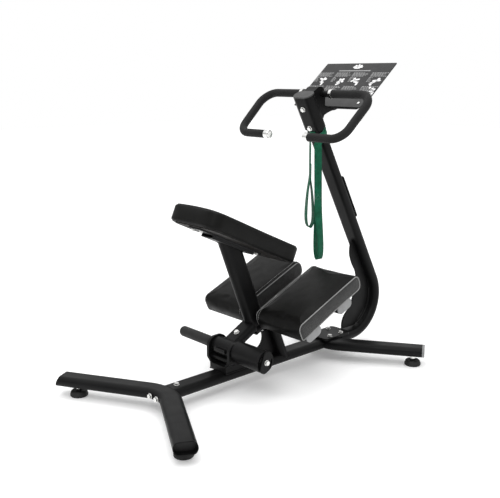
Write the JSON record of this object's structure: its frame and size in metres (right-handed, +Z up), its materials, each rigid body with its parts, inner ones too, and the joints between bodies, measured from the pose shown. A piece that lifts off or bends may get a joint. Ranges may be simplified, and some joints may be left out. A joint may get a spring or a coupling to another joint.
{
  "type": "stretch machine",
  "caption": "Kneeling stretch machine: a seat and knee pads rock together on a low pivot, before a mast with a wrap-around handlebar, placard and hanging loops.",
  "frame": {"origin": "on the floor under the middle of the machine's outer box", "axes": "+Z up; +X from the seat towards the mast; Y = 0 is the middle plane"},
  "size_m": [1.3981, 0.7969, 1.2113],
  "materials": {
    "frame_paint": "satin powder coat",
    "zinc": "zinc plated",
    "steel": "machined",
    "bright": "polished",
    "bush": "plain",
    "rubber": "matte",
    "grip": "ribbed matte",
    "cap_grey": "satin",
    "cap_dark": "matte",
    "cover": "grained vinyl",
    "board": "black stained plywood",
    "webbing": "woven",
    "placard": "matte print"
  },
  "bodies": {
    "frame": {"main_beam": "frame_paint", "rear_leg": "frame_paint", "front_leg": "frame_paint", "mast": "frame_paint", "mast_flange": "frame_paint", "mast_web": "frame_paint", "head_sleeve": "frame_paint", "mast_back_plate": "frame_paint", "handlebar": "frame_paint", "bar_clamp": "frame_paint", "placard_bracket": "frame_paint", "pivot_housing": "frame_paint", "stop_bar": "frame_paint", "spring_barrel": "frame_paint", "rest_post": "frame_paint", "rest_gusset": "frame_paint", "frame_bolts": "zinc", "placard_screws": "zinc", "foot_nuts": "zinc", "beam_spigots": "steel", "peg_tube": "steel", "grip_rings": "bright", "bar_caps": "bright", "pivot_bushes": "bush", "torsion_rubber": "rubber", "peg_sleeve": "rubber", "rest_bumper": "rubber", "grip_left": "grip", "grip_right": "grip", "front_leg_caps": "cap_grey", "rear_leg_caps": "cap_dark", "head_cap": "cap_dark", "strap_band": "webbing", "strap_right": "webbing", "strap_left": "webbing", "placard": "placard"},
    "rocker": {"pivot_hub": "frame_paint", "rocker_arm": "frame_paint", "arm_bolt": "zinc", "pad_rail": "frame_paint", "rail_plug": "cap_dark", "pivot_shaft": "steel", "shaft_keeper": "frame_paint", "keeper_bolt": "zinc", "seat_post": "frame_paint", "seat_bracket": "frame_paint", "seat_board": "board", "seat_cushion": "cover", "seat_bolts": "zinc", "knee_boards": "board", "knee_cushion_left": "cover", "knee_cushion_right": "cover", "knee_pad_bolts": "zinc", "low_cross_tube": "frame_paint", "high_cross_tube": "frame_paint", "cross_tube_caps": "cap_grey"},
    "foot_rear_left": {"foot_rear_left": "rubber"},
    "foot_rear_right": {"foot_rear_right": "rubber"},
    "foot_front_left": {"foot_front_left": "rubber"},
    "foot_front_right": {"foot_front_right": "rubber"}
  },
  "joints": [
    {"name": "seat_rock", "type": "hinge", "parent": "frame", "child": "rocker", "pos_m": [-0.178, 0, 0.161], "axis": [0, -1, 0], "range_deg": [0, 25], "stiffness_Nm_per_rad": 30},
    {"name": "foot_rear_left_screw", "type": "slide", "parent": "frame", "child": "foot_rear_left", "axis": [0, 0, -1], "range_m": [0, 0.012]},
    {"name": "foot_rear_right_screw", "type": "slide", "parent": "frame", "child": "foot_rear_right", "axis": [0, 0, -1], "range_m": [0, 0.012]},
    {"name": "foot_front_left_screw", "type": "slide", "parent": "frame", "child": "foot_front_left", "axis": [0, 0, -1], "range_m": [0, 0.012]},
    {"name": "foot_front_right_screw", "type": "slide", "parent": "frame", "child": "foot_front_right", "axis": [0, 0, -1], "range_m": [0, 0.012]}
  ]
}
